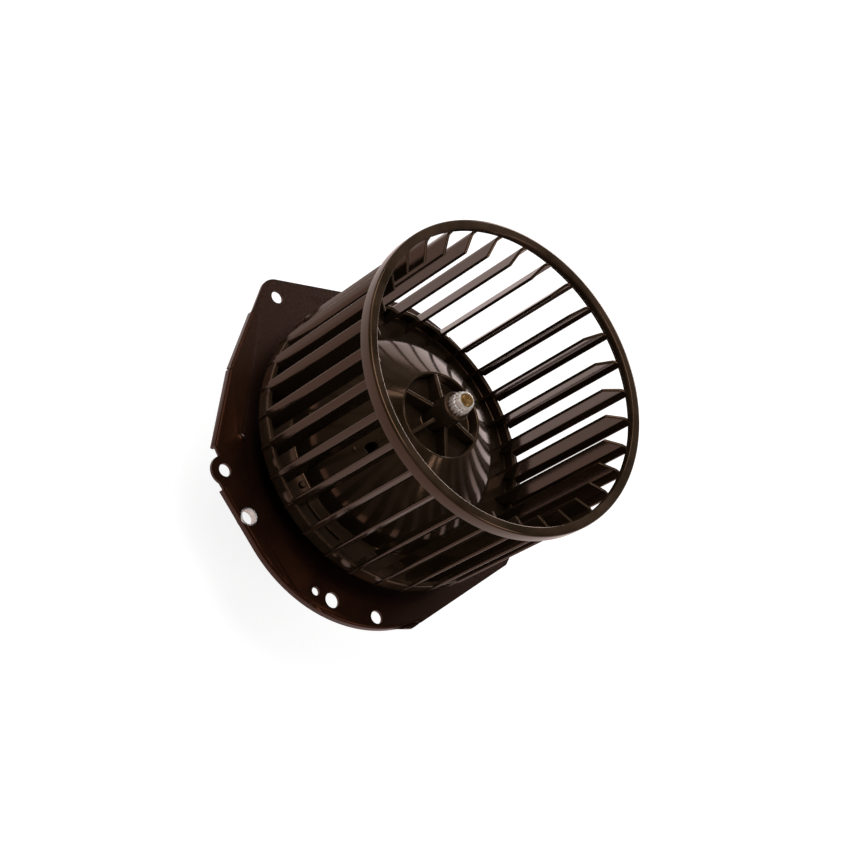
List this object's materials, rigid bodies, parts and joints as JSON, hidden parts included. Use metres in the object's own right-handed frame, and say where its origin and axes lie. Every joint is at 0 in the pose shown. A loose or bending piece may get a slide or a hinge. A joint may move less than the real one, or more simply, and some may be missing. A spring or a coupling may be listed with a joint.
{
  "type": "cabin blower motor",
  "caption": "Vented blower motor on a stamped flange with a squirrel-cage wheel of forward-curved blades held on its shaft by a spring clip.",
  "frame": {"origin": "on the shaft's axis at the flange's wheel-side face", "axes": "+Z along the shaft from the motor to the wheel's open end; +Y towards the flange's ear; +X completes the right-handed frame, away from the flange's straight left edge"},
  "size_m": [0.1783, 0.1779, 0.1604],
  "materials": {
    "wheel_moulding": "glossy black-brown moulding",
    "flange_paint": "satin dark brown paint",
    "zinc_can": "dull olive zinc",
    "bright_zinc": "bright zinc",
    "spring_steel": "bright spring steel",
    "plated_shaft": "yellow plated",
    "sintered_bronze": "dull sintered bronze",
    "ferrite": "dark matt ferrite",
    "phenolic_card": "matt brown laminate",
    "brass_sheet": "bright brass",
    "carbon": "matt carbon",
    "core_steel": "stacked sheet steel",
    "enamelled_copper": "enamelled copper",
    "commutator_copper": "polished copper",
    "fibre": "matt fibre",
    "terminal_plastic": "matt black moulding"
  },
  "bodies": {
    "motor": {"mounting_flange": "flange_paint", "flange_eyelet": "bright_zinc", "motor_can": "zinc_can", "flange_rivets": "bright_zinc", "rear_end_cap": "zinc_can", "cap_screws": "bright_zinc", "front_bearing": "sintered_bronze", "rear_bearing": "sintered_bronze", "front_bearing_cup": "bright_zinc", "rear_bearing_retainer": "spring_steel", "left_magnet": "ferrite", "right_magnet": "ferrite", "magnet_springs": "spring_steel", "brush_card": "phenolic_card", "brush_holders": "brass_sheet", "carbon_brushes": "carbon", "brush_springs": "spring_steel", "terminal_block": "terminal_plastic", "power_terminal": "brass_sheet", "ground_terminal": "brass_sheet"},
    "rotor": {"shaft": "plated_shaft", "armature_core": "core_steel", "armature_windings": "enamelled_copper", "commutator": "commutator_copper", "thrust_washers": "fibre", "wheel_hub": "wheel_moulding", "wheel_blades": "wheel_moulding", "wheel_front_ring": "wheel_moulding", "wheel_clip": "spring_steel"}
  },
  "joints": [
    {"name": "wheel_spin", "type": "hinge", "parent": "motor", "child": "rotor", "pos_m": [0, 0, 0], "axis": [0, 0, 1], "continuous": true}
  ]
}
